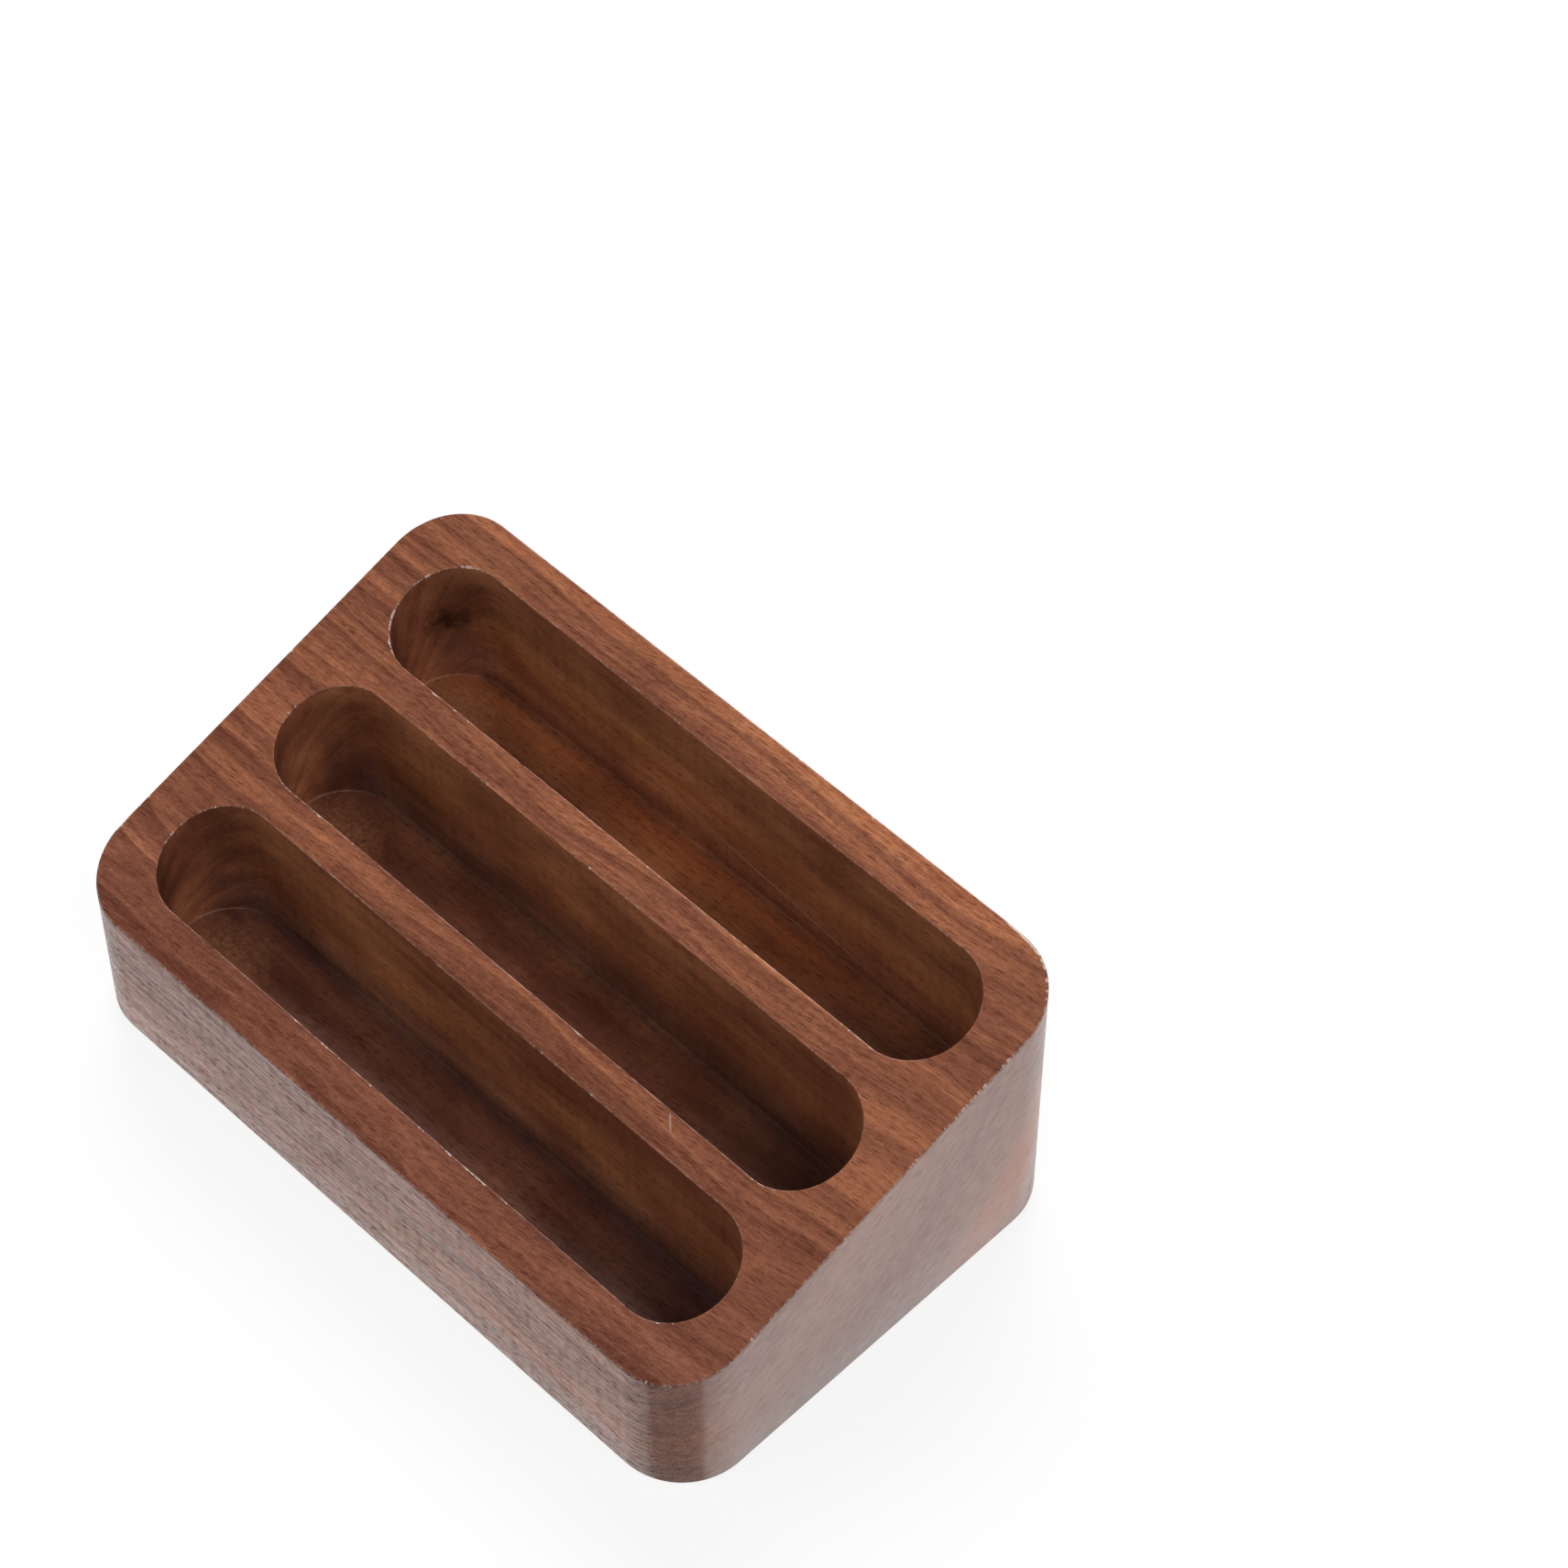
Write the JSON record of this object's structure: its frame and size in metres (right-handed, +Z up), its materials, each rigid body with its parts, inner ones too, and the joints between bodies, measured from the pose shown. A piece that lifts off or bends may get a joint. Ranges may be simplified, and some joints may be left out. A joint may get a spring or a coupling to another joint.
{
  "type": "pen tray",
  "caption": "Wedge-shaped walnut desk tray with round-ended slots stepping up its sloping top, for pens and small desk tools, on thin non-slip pads.",
  "frame": {"origin": "on the desk surface, under the middle of the tray's outline", "axes": "+X along the slots, to the right as seen from the low front; +Y from the low front to the high back; +Z up"},
  "size_m": [0.13, 0.08, 0.0509],
  "materials": {
    "walnut": "fine sanded and oiled, satin",
    "pad_rubber": "moulded, matte"
  },
  "bodies": {
    "root": {"tray_block": "walnut", "pad_front_left": "pad_rubber", "pad_front_right": "pad_rubber", "pad_back_left": "pad_rubber", "pad_back_right": "pad_rubber"}
  },
  "joints": []
}
